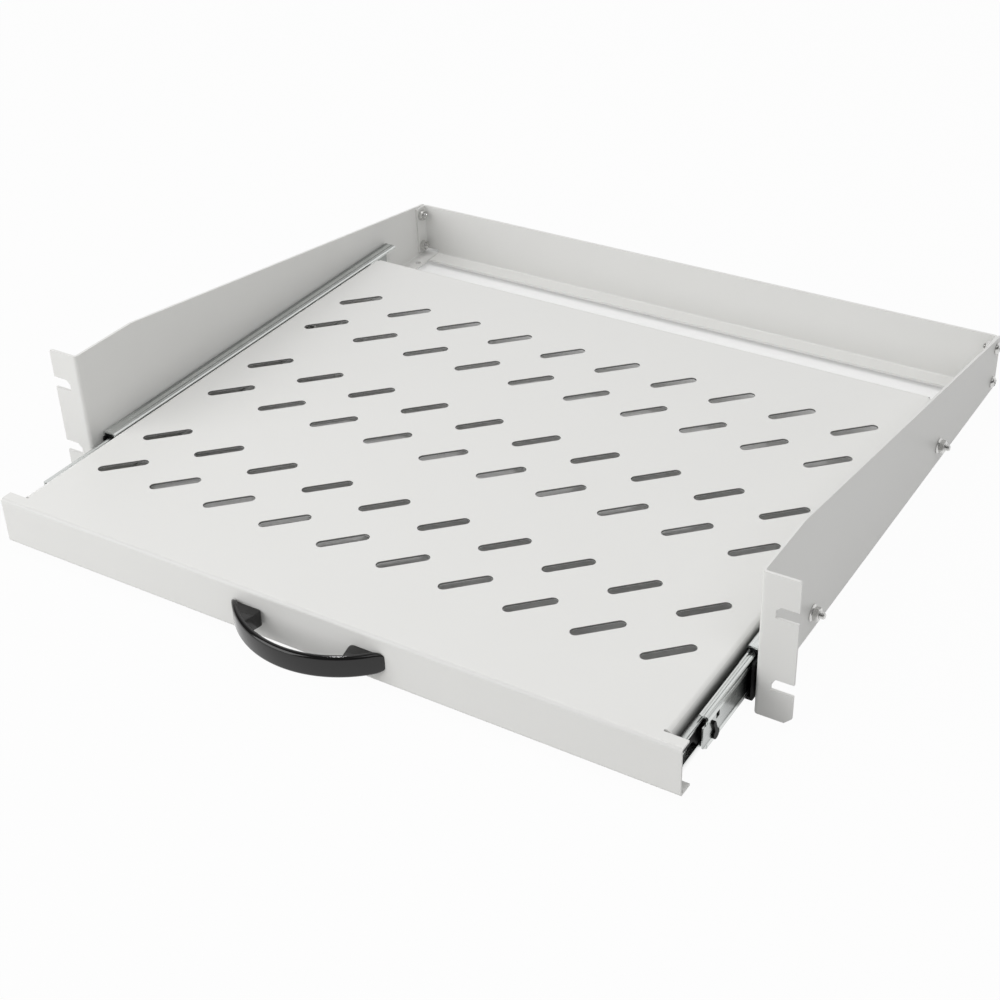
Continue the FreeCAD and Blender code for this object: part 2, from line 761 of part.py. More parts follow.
def shelf_tray():
    """Folded tray: slotted top, front panel with a lip, side flanges and a back flange."""
    body = new_body("shelf_tray")
    front_half = "(body_width / 2 - front_gap)"
    front_low = "(tray_level - front_drop)"
    under = "(tray_level - tray_sheet)"
    relief = "(tray_sheet + tray_bend + sheet_gap)"
    strip = "(tray_front + front_strip)"
    inset = f"({TRAY_HALF} - {relief})"
    side_start = f"({strip} + corner_slit)"
    side_end = f"(tray_rear - {relief})"
    side_fold = folded([
        (TRAY_HALF, "tray_level - tray_flange"),
        (TRAY_HALF, "tray_level"),
        (f"-{TRAY_HALF}", "tray_level"),
        (f"-{TRAY_HALF}", "tray_level - tray_flange"),
    ], "tray_sheet", "tray_bend")
    slab(body, "XZ", f"-{side_end}", f"{side_end} - {side_start}", *side_fold)
    front_fold = folded([
        (strip, "tray_level"),
        ("tray_front", "tray_level"),
        ("tray_front", front_low),
        ("tray_front + front_lip", front_low),
    ], "tray_sheet", "front_bend")
    slab(body, "YZ", f"-{front_half}", f"2 * {front_half}", *front_fold)
    back_fold = folded([
        ("tray_rear", "tray_level - tray_back_flange"),
        ("tray_rear", "tray_level"),
        (f"{side_end} - {relief}", "tray_level"),
    ], "tray_sheet", "tray_bend")
    slab(body, "YZ", f"-{inset}", f"2 * {inset}", *back_fold)
    slab(body, "XY", under, "tray_sheet", [
        (f"-{inset}", strip),
        (inset, strip),
        (inset, f"{side_start} + {relief}"),
        (f"-{inset}", f"{side_start} + {relief}"),
    ])
    holes = new_sketch(body, "YZ", f"-{TRAY_HALF}")
    for index in range(int(number("tray_holes"))):
        add_circle(holes, f"tray_hole_front + {index} * tray_hole_pitch", "rail_level", f"{HOLE_SIZE} / 2")
    cut(body, holes, f"2 * {TRAY_HALF}", backwards=True)
    grips = new_sketch(body, "XZ", "-tray_front")
    for side in (1, -1):
        add_circle(grips, side_text(side, "handle_hole_span / 2"), "handle_level",
                   "handle_screw / 2 + screw_clear")
    cut(body, grips, "tray_sheet")
    vents = new_sketch(body, "XY", "tray_level")
    reach = "(vent_length - vent_width) / 2"
    column = "-(vent_columns - 1) * vent_pitch / 2"
    for level in ("tray_front + vent_start", "tray_front + vent_start + vent_pair"):
        add_slot(vents, (f"{column} - {reach} * cos(vent_angle)", f"{level} - {reach} * sin(vent_angle)"),
                 (f"{column} + {reach} * cos(vent_angle)", f"{level} + {reach} * sin(vent_angle)"),
                 "vent_width / 2")
    first_vents = cut(body, vents, "tray_sheet")
    grid = body.newObject("PartDesign::LinearPattern", "vent_grid")
    grid.Originals = [first_vents]
    grid.Direction = (vents, ["H_Axis"])
    grid.Direction2 = (vents, ["V_Axis"])
    bind(grid, Length="(vent_columns - 1) * vent_pitch", Occurrences="vent_columns",
         Length2="(vent_repeats - 1) * vent_repeat", Occurrences2="vent_repeats")
    body.Tip = grid
    doc.recompute()


def handle():
    """Bow handle: a thin arched band on two wedge-shaped feet."""
    body = new_body("handle")
    half = "(handle_length / 2)"
    radius = f"(({half} ^ 2 + handle_bow ^ 2) / (2 * handle_bow))"
    centre = f"({radius} - handle_bow)"
    hollow = f"({radius} - handle_band)"
    hollow_half = f"sqrt({hollow} ^ 2 - {centre} ^ 2)"
    low = "(handle_level - handle_height / 2)"
    slab(body, "XY", low, "handle_height", [
        (f"-{half}", "tray_front"),
        (half, "tray_front"),
        (hollow_half, "tray_front"),
        (f"-{hollow_half}", "tray_front"),
    ], {0: radius, 2: f"-{hollow}"})
    round_edges(body, "handle_round", {"z": low}, {"z": f"{low} + handle_height"}, curved=True)
    middle = f"({radius} - handle_band / 2)"
    foot_tip = "(foot_inner + foot_slant)"
    foot = [
        (foot_tip, f"tray_front + {centre} - sqrt({middle} ^ 2 - {foot_tip} ^ 2)"),
        (f"sqrt({middle} ^ 2 - {centre} ^ 2)", "tray_front"),
        ("foot_inner", "tray_front"),
    ]
    foot_low = "handle_level - foot_height / 2"
    left_foot = [(f"-{x}", y) for x, y in (foot[0], foot[2], foot[1])]
    slab(body, "XY", foot_low, "foot_height", foot, {0: middle})
    slab(body, "XY", foot_low, "foot_height", left_foot, {2: middle})
    bores = new_sketch(body, "XZ", "-tray_front")
    for side in (1, -1):
        add_circle(bores, side_text(side, "handle_hole_span / 2"), "handle_level",
                   "handle_screw / 2 + screw_clear")
    cut(body, bores, "handle_screw_grip + screw_clear", backwards=True)


def screw(head, head_rise, shank, length, place):
    """A round head on a plain shank; place turns a piece and ties its foot to a distance under the head."""
    return fuse([place(rod(head, head_rise), f"-({head_rise})"), place(rod(shank, length), "0")])


def nut(flats, height, place):
    """A hexagon nut with a plain bore."""
    return bored(place(hexagon(flats, height), "0"), place(rod(HOLE_SIZE, height), "0"))


def across(side, seat, y, z, inwards=False):
    """Places pieces along X, from a seat on the right or the left, outwards or inwards."""
    way = -1 if inwards else 1
    sign = "-" if inwards else "+"
    return lambda thing, step: along_x(thing, side_text(side, f"{seat} {sign} ({step})"), y, z, side * way)


def fasteners():
    """Screws and nuts, each kind in one node."""
    rail_screws = []
    rail_nuts = []
    corner_screws = []
    corner_nuts = []
    tray_screws = []
    tray_nuts = []
    handle_screws = []
    outside = "(body_width / 2)"
    rail_grip = "(rail_sheet + frame_sheet + nut_flange_rise + nut_height + screw_end)"
    corner_grip = "(2 * frame_sheet + nut_height + corner_end)"
    tray_grip = "(rail_sheet + tray_sheet + nut_height + corner_end)"
    for side in (1, -1):
        for y in ("rail_hole_front", "rail_hole_front + rail_hole_pitch"):
            in_rail = across(side, f"({PANEL_FACE} - rail_sheet)", y, "rail_level")
            rail_screws.append(screw("screw_head", "flat_head_rise", "screw_size", rail_grip, in_rail))
            on_panel = across(side, outside, y, "rail_level")
            hexes = nut("nut_flats", "(nut_height + nut_flange_rise)", on_panel)
            flange = on_panel(rod("nut_flange", "nut_flange_rise"), "0")
            flange_bore = on_panel(rod(HOLE_SIZE, "nut_flange_rise"), "0")
            rail_nuts.append(fuse([hexes, bored(flange, flange_bore)]))
        for z in ("corner_hole_low", "corner_hole_low + corner_hole_rise"):
            y = "frame_depth - corner_hole_back"
            on_panel = across(side, outside, y, z, inwards=True)
            corner_screws.append(screw("screw_head", "screw_head_rise", "screw_size", corner_grip, on_panel))
            in_corner = across(side, "(body_width / 2 - 2 * frame_sheet)", y, z, inwards=True)
            corner_nuts.append(nut("nut_flats", "nut_height", in_corner))
        for index in range(int(number("tray_holes"))):
            y = f"tray_hole_front + {index} * tray_hole_pitch"
            in_rail = across(side, f"({TRAY_HALF} + rail_sheet)", y, "rail_level", inwards=True)
            tray_screws.append(screw("screw_head", "screw_head_rise", "screw_size", tray_grip, in_rail))
            in_tray = across(side, f"({TRAY_HALF} - tray_sheet)", y, "rail_level", inwards=True)
            tray_nuts.append(nut("nut_flats", "nut_height", in_tray))
        x = side_text(side, "handle_hole_span / 2")
        seat = "tray_front + tray_sheet"
        behind_panel = lambda thing, step, x=x: along_y(thing, x, f"{seat} - ({step})", "handle_level")
        handle_grip = "(tray_sheet + handle_screw_grip)"
        handle_screws.append(
            screw("screw_head", "screw_head_rise", "handle_screw", handle_grip, behind_panel)
        )
    group(rail_screws, "rail_mount_screws")
    group(rail_nuts, "rail_flange_nuts")
    group(corner_screws, "corner_screws")
    group(corner_nuts, "corner_nuts")
    group(tray_screws, "tray_rail_screws")
    group(tray_nuts, "tray_rail_nuts")
    group(handle_screws, "handle_screws")


side_panel()
rear_panel()
outer_rail()
middle_rail()
inner_rail()
rail_plastics()
ball_bearings()
shelf_tray()
handle()
fasteners()

doc.recompute()
for thing in doc.Objects:
    if "Invalid" in thing.State or "Error" in thing.State:
        raise ValueError(f"{thing.Label} failed")
for thing in nodes:
    if thing.Shape.isNull() or not thing.Shape.isValid():
        raise ValueError(f"{thing.Label} has no valid shape")

os.makedirs("parts", exist_ok=True)
for thing in nodes:
    thing.Shape.exportStep(f"parts/{thing.Label}.step")
print(len(nodes), "nodes written")
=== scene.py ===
import json
import math

import bmesh
import bpy
from mathutils import Matrix, Vector


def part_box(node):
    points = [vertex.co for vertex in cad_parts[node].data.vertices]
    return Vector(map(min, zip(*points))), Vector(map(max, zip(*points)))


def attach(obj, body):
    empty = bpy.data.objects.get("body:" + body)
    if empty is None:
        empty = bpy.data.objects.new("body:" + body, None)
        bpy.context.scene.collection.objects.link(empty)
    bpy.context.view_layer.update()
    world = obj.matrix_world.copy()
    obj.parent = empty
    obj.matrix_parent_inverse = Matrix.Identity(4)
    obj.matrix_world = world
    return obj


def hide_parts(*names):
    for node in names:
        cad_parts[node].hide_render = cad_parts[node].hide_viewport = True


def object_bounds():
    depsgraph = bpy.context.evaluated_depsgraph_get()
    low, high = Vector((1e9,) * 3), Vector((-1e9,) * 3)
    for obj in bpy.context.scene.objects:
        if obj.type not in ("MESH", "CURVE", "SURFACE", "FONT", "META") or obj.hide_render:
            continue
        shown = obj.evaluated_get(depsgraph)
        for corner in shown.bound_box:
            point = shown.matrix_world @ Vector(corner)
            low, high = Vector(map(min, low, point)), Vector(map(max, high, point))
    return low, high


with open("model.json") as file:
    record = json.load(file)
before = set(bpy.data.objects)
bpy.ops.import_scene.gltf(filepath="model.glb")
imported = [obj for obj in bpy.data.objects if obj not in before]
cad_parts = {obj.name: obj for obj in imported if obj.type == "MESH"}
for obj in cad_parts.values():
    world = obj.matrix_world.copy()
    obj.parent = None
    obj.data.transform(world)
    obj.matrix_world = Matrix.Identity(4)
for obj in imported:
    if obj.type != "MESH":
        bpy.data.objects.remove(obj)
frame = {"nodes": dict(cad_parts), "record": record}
cad_low, cad_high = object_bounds()
MM = 0.001

# Camera. Its place is in millimetres, its turns are in degrees and its clip distances in metres.
CAMERA_PLACE = Vector((480.96, -631.96, 533.06)) * MM
CAMERA_AZIMUTH = 32.842
CAMERA_ELEVATION = 33.451
CAMERA_ROLL = -2.191
CAMERA_LENS = 62.77
SENSOR_WIDTH = 36.0
NEAREST = 0.01
FARTHEST = 50.0

# Floor. Its size is in metres and its zones are in millimetres: the zone that keeps the shelf's shade
# instead of being white to the camera, the zone of paler paper in it, and the strip behind the tray,
# which is partly white again.
FLOOR_SIZE = 12.0
WHITE_SHARE = 0.965
SHADED_FLOOR = {"low": (-225.0, -58.0), "high": (200.0, 385.0), "fade": 10.0}
PALE_FLOOR = {"low": (-222.0, -58.0), "high": (200.0, 360.0), "fade": 5.0}
REAR_GAP = {"low": (-212.0, 320.0), "high": (230.0, 366.0), "fade": 3.0}
GAP_WHITE = 0.25

# Light: the room's strength, the dim front of the room in reflections, and the lamps, in metres and watts.
ROOM_LIGHT = 0.55
DIM_FRONT = {"from": 0.05, "to": 0.5, "light": 0.08}
SOFT_BOXES = {
    "key": {"place": (-1.05, -1.35, 0.85), "size": 1.5, "power": 20.5},
    "top": {"place": (-0.45, 0.2, 1.9), "size": 0.12, "power": 5.0},
    "right": {"place": (1.2, -0.5, 1.7), "size": 1.2, "power": 6.0},
}

# Sizes of the shelf that the finishes and the new pieces follow, in millimetres.
FRAME_SHEET = 1.5
PANEL_OUTSIDE = 222.0
CORNER_INSIDE = 219.0
CORNER_BACK = 358.0
CORNER_HOLES = (-32.55, -8.05)
RAIL_SHEET = 1.2
RAIL_LEVEL = -25.85
RAIL_HOLES = (67.0, 257.0)
OUTER_WEB = 219.3
OUTER_FRONT = 9.5
LEFT_NOSE = 2.0
TRAY_SHEET = 1.2
TRAY_SIDE = 208.8
TRAY_LEVEL = -10.75
TRAY_FRONT = -78.5
TRAY_HOLES = (-30.0, 85.0, 200.0)
FRONT_STRIP = 10.5
FRONT_BEND = 2.2

# Painted shade on the tray, in millimetres: the field of the vents, with the part of the sheet's thickness
# whose walls get painted shade, and the painted shade on the side flanges, which deepens downwards from the
# tray's top.
VENT_FIELD = {"centre": 104.5, "half_depth": 140.0, "half_width": 203.0, "edge": 0.8}
SIDE_PAINTED_SHADE = {"outside": 207.7, "from": 0.3, "to": 6.0, "share": 0.86}

# Painted shade on the rails, in dark bands: the place across the shelf, half the width, the place along the
# shelf where the band starts and where it is full, and its share there.
# Painted shade in a thin line on the middle rails' web, deepening towards the outer rail's mouth.
MIDDLE_PAINTED_SHADE = (
    {"at": 216.4, "half": 0.25, "along": (-34.0, -4.0), "share": (0.3, 0.93)},
)
# Painted shade in dark lines along the outer rails, next to the panel and at two edges, setting in behind
# the front end.
OUTER_PAINTED_SHADE = (
    {"at": 219.0, "half": 2.0, "along": (10.0, 50.0), "share": (0.0, 0.5)},
    {"at": 213.6, "half": 0.3, "along": (10.0, 50.0), "share": (0.0, 0.75)},
    {"at": 211.7, "half": 0.25, "along": (10.0, 50.0), "share": (0.0, 0.6)},
)

# Screws, in millimetres. A head's crown reaches over a share of its radius and drops by a share of its
# rise, and its rim lies between two shares of the rise. The cross has flared walls and sloping ends.
SCREW_RADIUS = 2.0
SCREW_END = 2.2
RAIL_SCREW_END = 3.0
HANDLE_SCREW_GRIP = 6.0
THREAD_PITCH = 0.7
THREAD_DEPTH = 0.34
THREAD_STEPS = 6
TAPER = {"length": 0.7, "slope": 0.75, "tip": 0.5}
HEAD_RADIUS = 3.8
HEAD_RINGS = 14
HEAD_CROWN = {"reach": 0.985, "drop": 0.7, "power": 3.5}
HEAD_RIM = (0.22, 0.06)
HEAD_UNDERCUT = 0.1
CROSS = {"width": 0.62, "flare": 1.6, "reach": 2.3, "slope": 3.0}
PAN_HEAD = {"rise": 2.6, "recess": 1.5}
FLAT_HEAD = {"rise": 0.8, "recess": 0.45}

# Nuts, in millimetres. The flange's edge is in pairs of inset and height, from below.
BORE_RADIUS = 2.15
NUT_HALF_FLATS = 3.5
NUT_FACE = 0.96 * NUT_HALF_FLATS
NUT_HEIGHT = 3.2
NUT_SLOPE = math.tan(math.radians(30))
NUT_CHAMFER = 0.4
NUT_FLANGE_RADIUS = 4.8
NUT_FLANGE_RISE = 1.2
NUT_FLANGE_EDGE = ((0.25, 0.0), (0.0, 0.2), (0.0, 0.55), (0.3, 0.85))
NUT_FILLET = {"reach": 0.12, "height": 0.2}

# Screws and nuts are twisted by up to a sixth of a turn.
MOST_TWIST = math.pi / 3

# Meshes: steps in a full turn, the angle of a sharp edge, and distances that count as none, in metres.
ROUND_STEPS = 48
SHARP_ANGLE = math.radians(28)
SAME_POINT = 1e-7
SAME_CAD_POINT = 1e-6
SAME_LEVEL = 1e-6

# Handle, in millimetres.
HANDLE_LEVEL = -25.75
HANDLE_RADIUS = 64.083
HANDLE_CENTRE = 40.083
HANDLE_BAND = 3.2
HANDLE_HALF_HEIGHT = 6.75
HANDLE_HOLES = (-39.0, 39.0)
HANDLE_FILLETS = {"outer": 2.1, "inner": 0.9}
HANDLE_STEPS = 96
FILLET_STEPS = 6

# Ends of the handle: the share of each half of the bow where the rounding starts, how much height it
# takes away above and below, in millimetres, and the share of a quarter round that is followed.
HANDLE_END = {"start": 0.9, "round": 2.3, "share": 0.98}

# Feet of the handle, in millimetres.
FOOT_INNER = 28.5
FOOT_TIP = 31.5
FOOT_HALF_HEIGHT = 4.75
FOOT_ROUND = 3.2
FOOT_RIM = 0.8
FOOT_RIM_STEPS = 3
FOOT_STEPS = {"bow": 12, "corner": 8}

# Catches in the inner rails: a share of the height, three shares of the length, and sizes in millimetres.
CATCH = {"arm": 0.5, "arm_end": 0.4, "knee": 0.55, "stop": 0.72, "knee_drop": 1.0, "rim": 0.35}
CATCH_RIM_STEPS = 2


class Socket:
    """A value in a node tree; sums, differences and products of values become Math nodes."""

    def __init__(self, nodes, socket):
        self.nodes = nodes
        self.socket = socket

    def math(self, operation, *values):
        return self.nodes.node("ShaderNodeMath", {"operation": operation}, dict(enumerate(values)))

    def __add__(self, other):
        return self.math("ADD", self, other)

    def __radd__(self, other):
        return self.math("ADD", other, self)

    def __sub__(self, other):
        return self.math("SUBTRACT", self, other)

    def __rsub__(self, other):
        return self.math("SUBTRACT", other, self)

    def __mul__(self, other):
        return self.math("MULTIPLY", self, other)

    def __rmul__(self, other):
        return self.math("MULTIPLY", other, self)

    def __abs__(self):
        return self.math("ABSOLUTE", self)


class Nodes:
    """A node tree, with one method that adds any node."""

    def __init__(self, tree):
        self.tree = tree
        self.tree.nodes.clear()

    def node(self, kind, settings=None, sockets=None, out=0):
        made = self.tree.nodes.new(kind)
        for name, value in (settings or {}).items():
            setattr(made, name, value)
        for key, value in (sockets or {}).items():
            self.feed(made.inputs[key], value)
        return Socket(self, made.outputs[out])

    def feed(self, target, value):
        if isinstance(value, Socket):
            self.tree.links.new(value.socket, target)
        else:
            target.default_value = value

    def end(self, kind, key, value):
        """The tree's output node."""
        output = self.tree.nodes.new(kind)
        self.feed(output.inputs[key], value)


class Finish(Nodes):
    """A material with a Principled surface, patterned in Object coordinates."""

    def __init__(self, name):
        self.material = bpy.data.materials.new(name)
        self.material.use_nodes = True
        super().__init__(self.material.node_tree)

    def here(self):
        return self.node("ShaderNodeTexCoord", out="Object")

    def along(self, axis):
        return self.node("ShaderNodeSeparateXYZ", {}, {"Vector": self.here()}, out=axis)

    def noise(self, size, stretch=(1, 1, 1), detail=2.0):
        """Noise whose grains measure about size, in metres, before they are stretched."""
        place = self.node("ShaderNodeMapping", {}, {"Vector": self.here(), "Scale": stretch})
        return self.node("ShaderNodeTexNoise", {}, {"Vector": place, "Scale": 1.0 / size, "Detail": detail})

    def spread(self, value, low, high, start=0.0, end=1.0):
        """A value that goes from low to high while the input goes from start to end."""
        return self.node("ShaderNodeMapRange", {}, {
            "Value": value,
            "From Min": start,
            "From Max": end,
            "To Min": low,
            "To Max": high,
        })

    def mix(self, factor, one, other):
        return self.node("ShaderNodeMix", {"data_type": "RGBA"}, {0: factor, 6: one, 7: other}, out=2)

    def bump(self, height, distance, strength):
        sockets = {"Height": height, "Distance": distance, "Strength": strength}
        return self.node("ShaderNodeBump", {}, sockets)

    def principled(self, **sockets):
        """The Principled shader; an underscore in a name stands for a space."""
        named = {name.replace("_", " "): value for name, value in sockets.items()}
        return self.node("ShaderNodeBsdfPrincipled", {}, named, out="BSDF")

    def surface(self, **sockets):
        self.end("ShaderNodeOutputMaterial", "Surface", self.principled(**sockets))
        return self.material


def rgb(red, green, blue):
    return (red, green, blue, 1.0)


def tray_painted_shade(coat, colour):
    """Painted shade on the tray: dark walls in the vents, sides that darken downwards and a darker front
    bend.
    """
    across = abs(coat.along("X"))
    depth = coat.along("Y")
    level = coat.along("Z")
    in_field = depth.math("COMPARE", depth, VENT_FIELD["centre"] * MM, VENT_FIELD["half_depth"] * MM)
    in_field = in_field * across.math("LESS_THAN", across, VENT_FIELD["half_width"] * MM)
    middle = (TRAY_LEVEL - TRAY_SHEET / 2) * MM
    vent_wall_shade = level.math("COMPARE", level, middle, VENT_FIELD["edge"] / 2 * TRAY_SHEET * MM)
    # Painted shade: the walls inside the vents are darkened to dark grey.
    colour = coat.mix(in_field * vent_wall_shade, colour, rgb(0.17, 0.17, 0.168))

    # Painted shade on the tray's side flanges, darker further down below the tray's top.
    side = across.math("GREATER_THAN", across, SIDE_PAINTED_SHADE["outside"] * MM)
    side = side * depth.math("GREATER_THAN", depth, (TRAY_FRONT + FRONT_STRIP) * MM)
    thin, thick = ((TRAY_LEVEL - SIDE_PAINTED_SHADE[end]) * MM for end in ("from", "to"))
    side_shade = coat.spread(level, 0.0, SIDE_PAINTED_SHADE["share"], thin, thick)
    colour = coat.mix(side * side_shade, colour, rgb(0.02, 0.02, 0.02))

    # Painted shade on the front bend, which tones down the light that the fold catches.
    half_bend = FRONT_BEND / 2 * MM
    front = TRAY_FRONT * MM
    top = TRAY_LEVEL * MM
    bend = coat.spread(depth, 1.0, 0.0, front + half_bend, front + 2 * half_bend)
    bend = bend * coat.spread(level, 0.0, 1.0, top - 2 * half_bend, top - half_bend)
    return coat.mix(bend, colour, rgb(0.67, 0.668, 0.655))


def powder_coat(name, tray=False):
    """Light grey powder coat: semi-gloss, with a fine orange peel and faint clouds in the colour."""
    coat = Finish(name)
    clouds = coat.noise(0.06, detail=3.0)
    specks = coat.noise(0.0007, detail=1.0)
    tone = coat.mix(clouds, rgb(0.772, 0.77, 0.752), rgb(0.792, 0.79, 0.773))
    colour = coat.mix(specks * 0.12, tone, rgb(0.70, 0.70, 0.685))
    if tray:
        colour = tray_painted_shade(coat, colour)
    peel = coat.noise(0.0011, detail=2.0)
    grain = coat.noise(0.00035, detail=1.0)
    height = peel * 0.7 + grain * 0.3
    return coat.surface(
        Base_Color=colour,
        Roughness=coat.spread(clouds, 0.36, 0.44),
        Specular_IOR_Level=0.45,
        Normal=coat.bump(height, 0.00006, 0.35),
    )


def zinc_rail(name, painted_shades=()):
    """Bright zinc on rolled steel: fine lines along the slide, a faint mottle, and bands of painted shade.
    """
    zinc = Finish(name)
    lines = zinc.noise(0.0005, stretch=(1, 0.01, 1), detail=3.0)
    mottle = zinc.noise(0.008, detail=3.0)
    tone = zinc.mix(mottle, rgb(0.66, 0.68, 0.67), rgb(0.84, 0.85, 0.84))
    colour = zinc.mix(lines * 0.45, tone, rgb(0.42, 0.45, 0.435))
    across = abs(zinc.along("X"))
    for shade_band in painted_shades:
        within = across.math("COMPARE", across, shade_band["at"] * MM, shade_band["half"] * MM)
        start, full = shade_band["along"]
        share = zinc.spread(zinc.along("Y"), *shade_band["share"], start * MM, full * MM)
        # Painted shade: each band darkens the zinc towards black.
        colour = zinc.mix(within * share, colour, rgb(0.03, 0.04, 0.037))
    return zinc.surface(
        Base_Color=colour,
        Metallic=1.0,
        Roughness=zinc.spread(mottle * 0.5 + lines * 0.5, 0.16, 0.36),
        Normal=zinc.bump(lines, 0.00004, 0.4),
    )


def zinc_fastener():
    """Bright zinc on screws and nuts, slightly cloudy."""
    zinc = Finish("zinc_fastener")
    mottle = zinc.noise(0.0012, detail=3.0)
    colour = zinc.mix(mottle, rgb(0.56, 0.56, 0.55), rgb(0.74, 0.735, 0.72))
    return zinc.surface(
        Base_Color=colour,
        Metallic=1.0,
        Roughness=zinc.spread(mottle, 0.18, 0.34),
        Normal=zinc.bump(mottle, 0.00003, 0.4),
    )


def ball_steel():
    """Polished bearing steel with a thin film of grease."""
    steel = Finish("ball_steel")
    grease = steel.noise(0.002, detail=2.0)
    colour = steel.mix(grease, rgb(0.60, 0.59, 0.57), rgb(0.74, 0.74, 0.75))
    return steel.surface(Base_Color=colour, Metallic=1.0, Roughness=steel.spread(grease, 0.08, 0.2))


def slide_plastic():
    """Matt black nylon of the slides' buffers, stops and catches."""
    nylon = Finish("slide_plastic")
    grain = nylon.noise(0.0006, detail=2.0)
    colour = nylon.mix(grain, rgb(0.003, 0.003, 0.003), rgb(0.009, 0.009, 0.009))
    return nylon.surface(
        Base_Color=colour,
        Roughness=nylon.spread(grain, 0.42, 0.56),
        Specular_IOR_Level=0.14,
        Normal=nylon.bump(grain, 0.00003, 0.5),
    )


def handle_plastic():
    """Glossy black moulding with faint flow lines along the bow."""
    moulding = Finish("handle_plastic")
    flow = moulding.noise(0.012, stretch=(0.3, 1, 1), detail=2.0)
    haze = moulding.noise(0.0005, detail=1.0)
    colour = moulding.mix(flow, rgb(0.003, 0.003, 0.003), rgb(0.009, 0.0085, 0.0085))
    return moulding.surface(
        Base_Color=colour,
        Roughness=moulding.spread(flow * 0.6 + haze * 0.4, 0.07, 0.15),
        Specular_IOR_Level=0.5,
        Normal=moulding.bump(haze, 0.00001, 0.3),
    )


FINISHES = {
    "powder_coat": powder_coat("powder_coat"),
    "zinc_rail": zinc_rail("zinc_rail"),
    "zinc_fastener": zinc_fastener(),
    "ball_steel": ball_steel(),
    "slide_plastic": slide_plastic(),
    "handle_plastic": handle_plastic(),
}
MIDDLE_ZINC = zinc_rail("zinc_rail_middle", MIDDLE_PAINTED_SHADE)
OUTER_ZINC = zinc_rail("zinc_rail_outer", OUTER_PAINTED_SHADE)
NODE_FINISHES = {
    "shelf_tray": powder_coat("powder_coat_tray", tray=True),
    "left_middle_rail": MIDDLE_ZINC,
    "right_middle_rail": MIDDLE_ZINC,
    "left_outer_rail": OUTER_ZINC,
    "right_outer_rail": OUTER_ZINC,
}


def finish_nodes():
    """Give every CAD node its own finish, or else the finish of its slot in the record."""
    for subpart in frame["record"]["subparts"]:
        name = subpart["node"]
        thing = frame["nodes"][name]
        thing.data.materials.clear()
        thing.data.materials.append(NODE_FINISHES.get(name, FINISHES[subpart["material_slot"]]))


def skin(rings, closed):
    """A mesh of quads between rings of points. Closed joins the last ring to the first."""
    steps = len(rings[0])
    count = len(rings)
    faces = []
    for row in range(count if closed else count - 1):
        following_row = (row + 1) % count
        for step in range(steps):
            following = (step + 1) % steps
            faces.append((
                row * steps + step,
                row * steps + following,
                following_row * steps + following,
                following_row * steps + step,
            ))
    if not closed:
        faces.append(tuple(range(steps - 1, -1, -1)))
        faces.append(tuple(range((count - 1) * steps, count * steps)))
    mesh = bpy.data.meshes.new("skin")
    mesh.from_pydata([Vector(point) * MM for ring in rings for point in ring], [], faces)
    return mesh


def tidy_mesh(mesh):
    """Merge doubles, turn the faces outwards and shade them smooth up to the sharp edges."""
    work = bmesh.new()
    work.from_mesh(mesh)
    bmesh.ops.remove_doubles(work, verts=work.verts, dist=SAME_POINT)
    bmesh.ops.recalc_face_normals(work, faces=work.faces)
    work.to_mesh(mesh)
    work.free()
    mesh.shade_smooth()
    mesh.set_sharp_from_angle(angle=SHARP_ANGLE)
    return mesh


def ring(radius, height):
    """A ring about Z; radius is a rule of the turn, and height a rule of the turn and the radius."""
    points = []
    for step in range(ROUND_STEPS):
        turn = 2 * math.pi * step / ROUND_STEPS
        reach = radius(turn)
        points.append((reach * math.cos(turn), reach * math.sin(turn), height(turn, reach)))
    return points


def plain_ring(radius, height):
    return ring(lambda turn: radius, lambda turn, reach: height)


def hexagon(turn):
    """How far a nut's hexagon reaches at a turn."""
    sixth = math.pi / 3
    return NUT_HALF_FLATS / math.cos((turn + sixth / 2) % sixth - sixth / 2)


def nut_mesh(flanged):
    """A hexagon nut with chamfered corners and bore, on a flange or plain."""
    top = NUT_HEIGHT + (NUT_FLANGE_RISE if flanged else 0.0)
    mouth = BORE_RADIUS + NUT_CHAMFER
    if flanged:
        rings = [plain_ring(BORE_RADIUS, 0.0)]
        rings += [plain_ring(NUT_FLANGE_RADIUS - inset, height) for inset, height in NUT_FLANGE_EDGE]
        rings += [
            ring(lambda turn: hexagon(turn) + NUT_FILLET["reach"], lambda turn, reach: NUT_FLANGE_RISE),
            ring(hexagon, lambda turn, reach: NUT_FLANGE_RISE + NUT_FILLET["height"]),
        ]
    else:
        rings = [
            plain_ring(BORE_RADIUS, NUT_CHAMFER),
            plain_ring(mouth, 0.0),
            plain_ring(NUT_FACE, 0.0),
            ring(hexagon, lambda turn, reach: (reach - NUT_FACE) * NUT_SLOPE),
        ]
    rings += [
        ring(hexagon, lambda turn, reach: top - (reach - NUT_FACE) * NUT_SLOPE),
        plain_ring(NUT_FACE, top),
        plain_ring(mouth, top),
        plain_ring(BORE_RADIUS, top - NUT_CHAMFER),
    ]
    return tidy_mesh(skin(rings, closed=True))


def held(value):
    """A value held between nothing and one."""
    return min(1.0, max(0.0, value))


